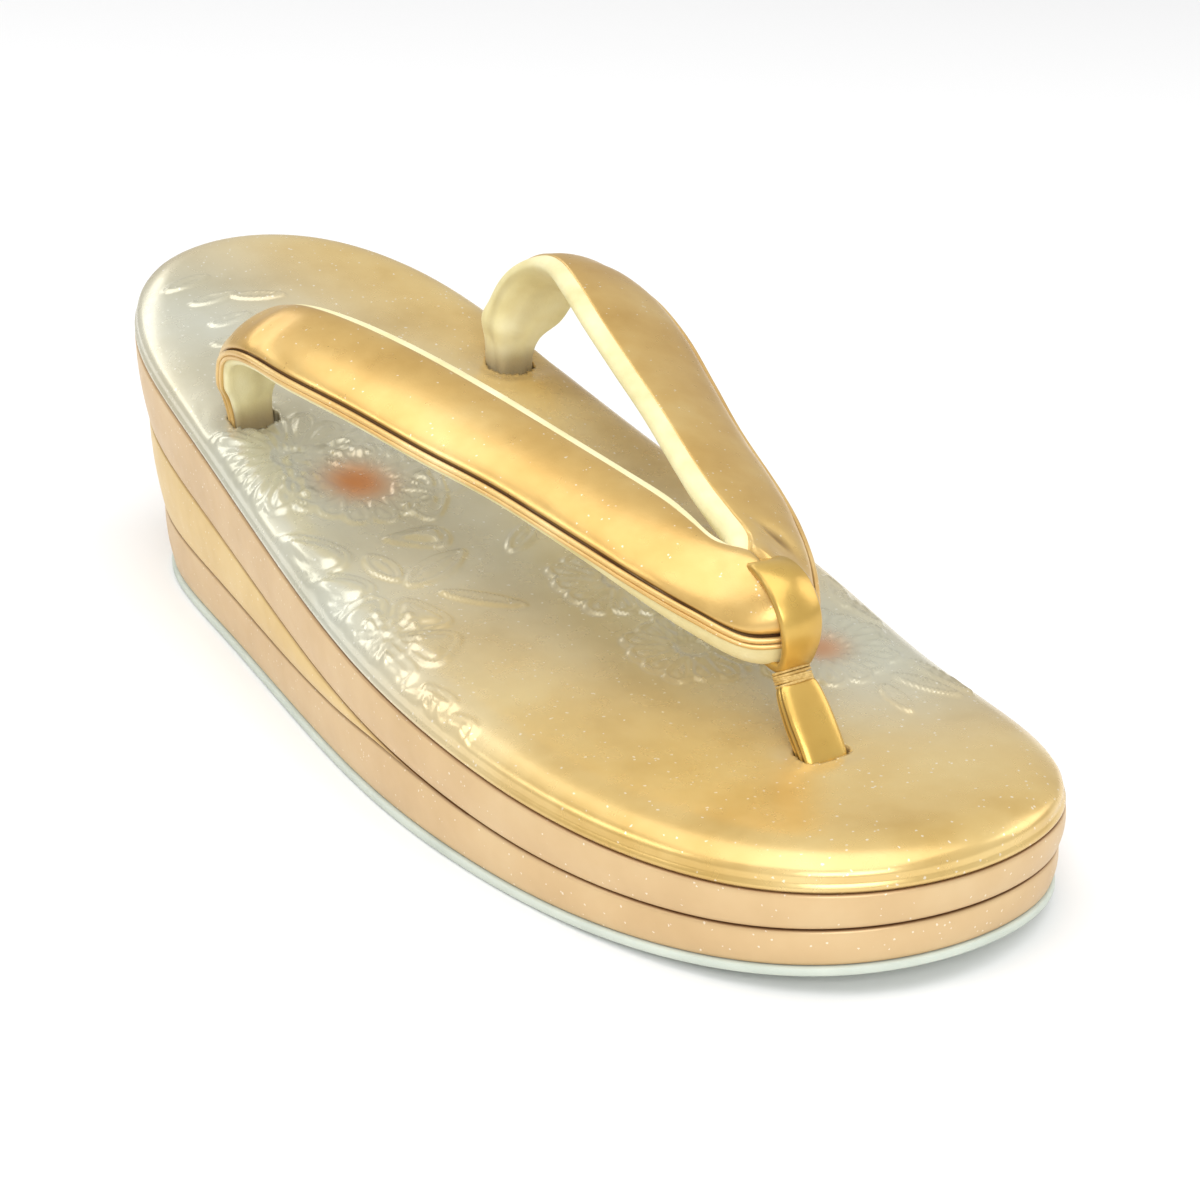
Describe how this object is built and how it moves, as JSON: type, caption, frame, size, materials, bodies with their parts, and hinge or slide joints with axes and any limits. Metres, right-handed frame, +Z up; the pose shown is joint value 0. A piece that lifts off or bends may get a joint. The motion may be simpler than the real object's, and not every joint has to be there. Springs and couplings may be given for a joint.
{
  "type": "zori sandal",
  "caption": "Wedge-soled zori sandal for the right foot, with padded insole and a padded V strap held by a looped toe strap.",
  "frame": {"origin": "on the ground under the centre of the sandal's bounding box", "axes": "+Z up, -Y towards the toe, +Y towards the heel, +X towards the wearer's left"},
  "size_m": [0.0899, 0.24, 0.0694],
  "materials": {
    "outsole_rubber": "pale grey-green rubber sheet, matt with fine grain",
    "rose_gold_leather": "pinkish gold synthetic leather with fine sparkle, satin",
    "yellow_gold_leather": "yellow gold synthetic leather with fine sparkle, satin",
    "insole_leather": "pearl gold and silver synthetic leather, embossed with flower outlines",
    "strap_leather": "gold synthetic leather over padding, satin",
    "strap_lining": "cream short-pile velvet",
    "antique_gold_leather": "antique gold synthetic leather, smooth satin",
    "thread": "twisted gold thread"
  },
  "bodies": {
    "root": {"outsole": "outsole_rubber", "sole_base_layer": "rose_gold_leather", "heel_wedge": "yellow_gold_leather", "sole_top_layer": "rose_gold_leather", "insole": "insole_leather", "straps": "strap_leather", "toe_strap": "antique_gold_leather", "thread_binding": "thread"}
  },
  "joints": []
}
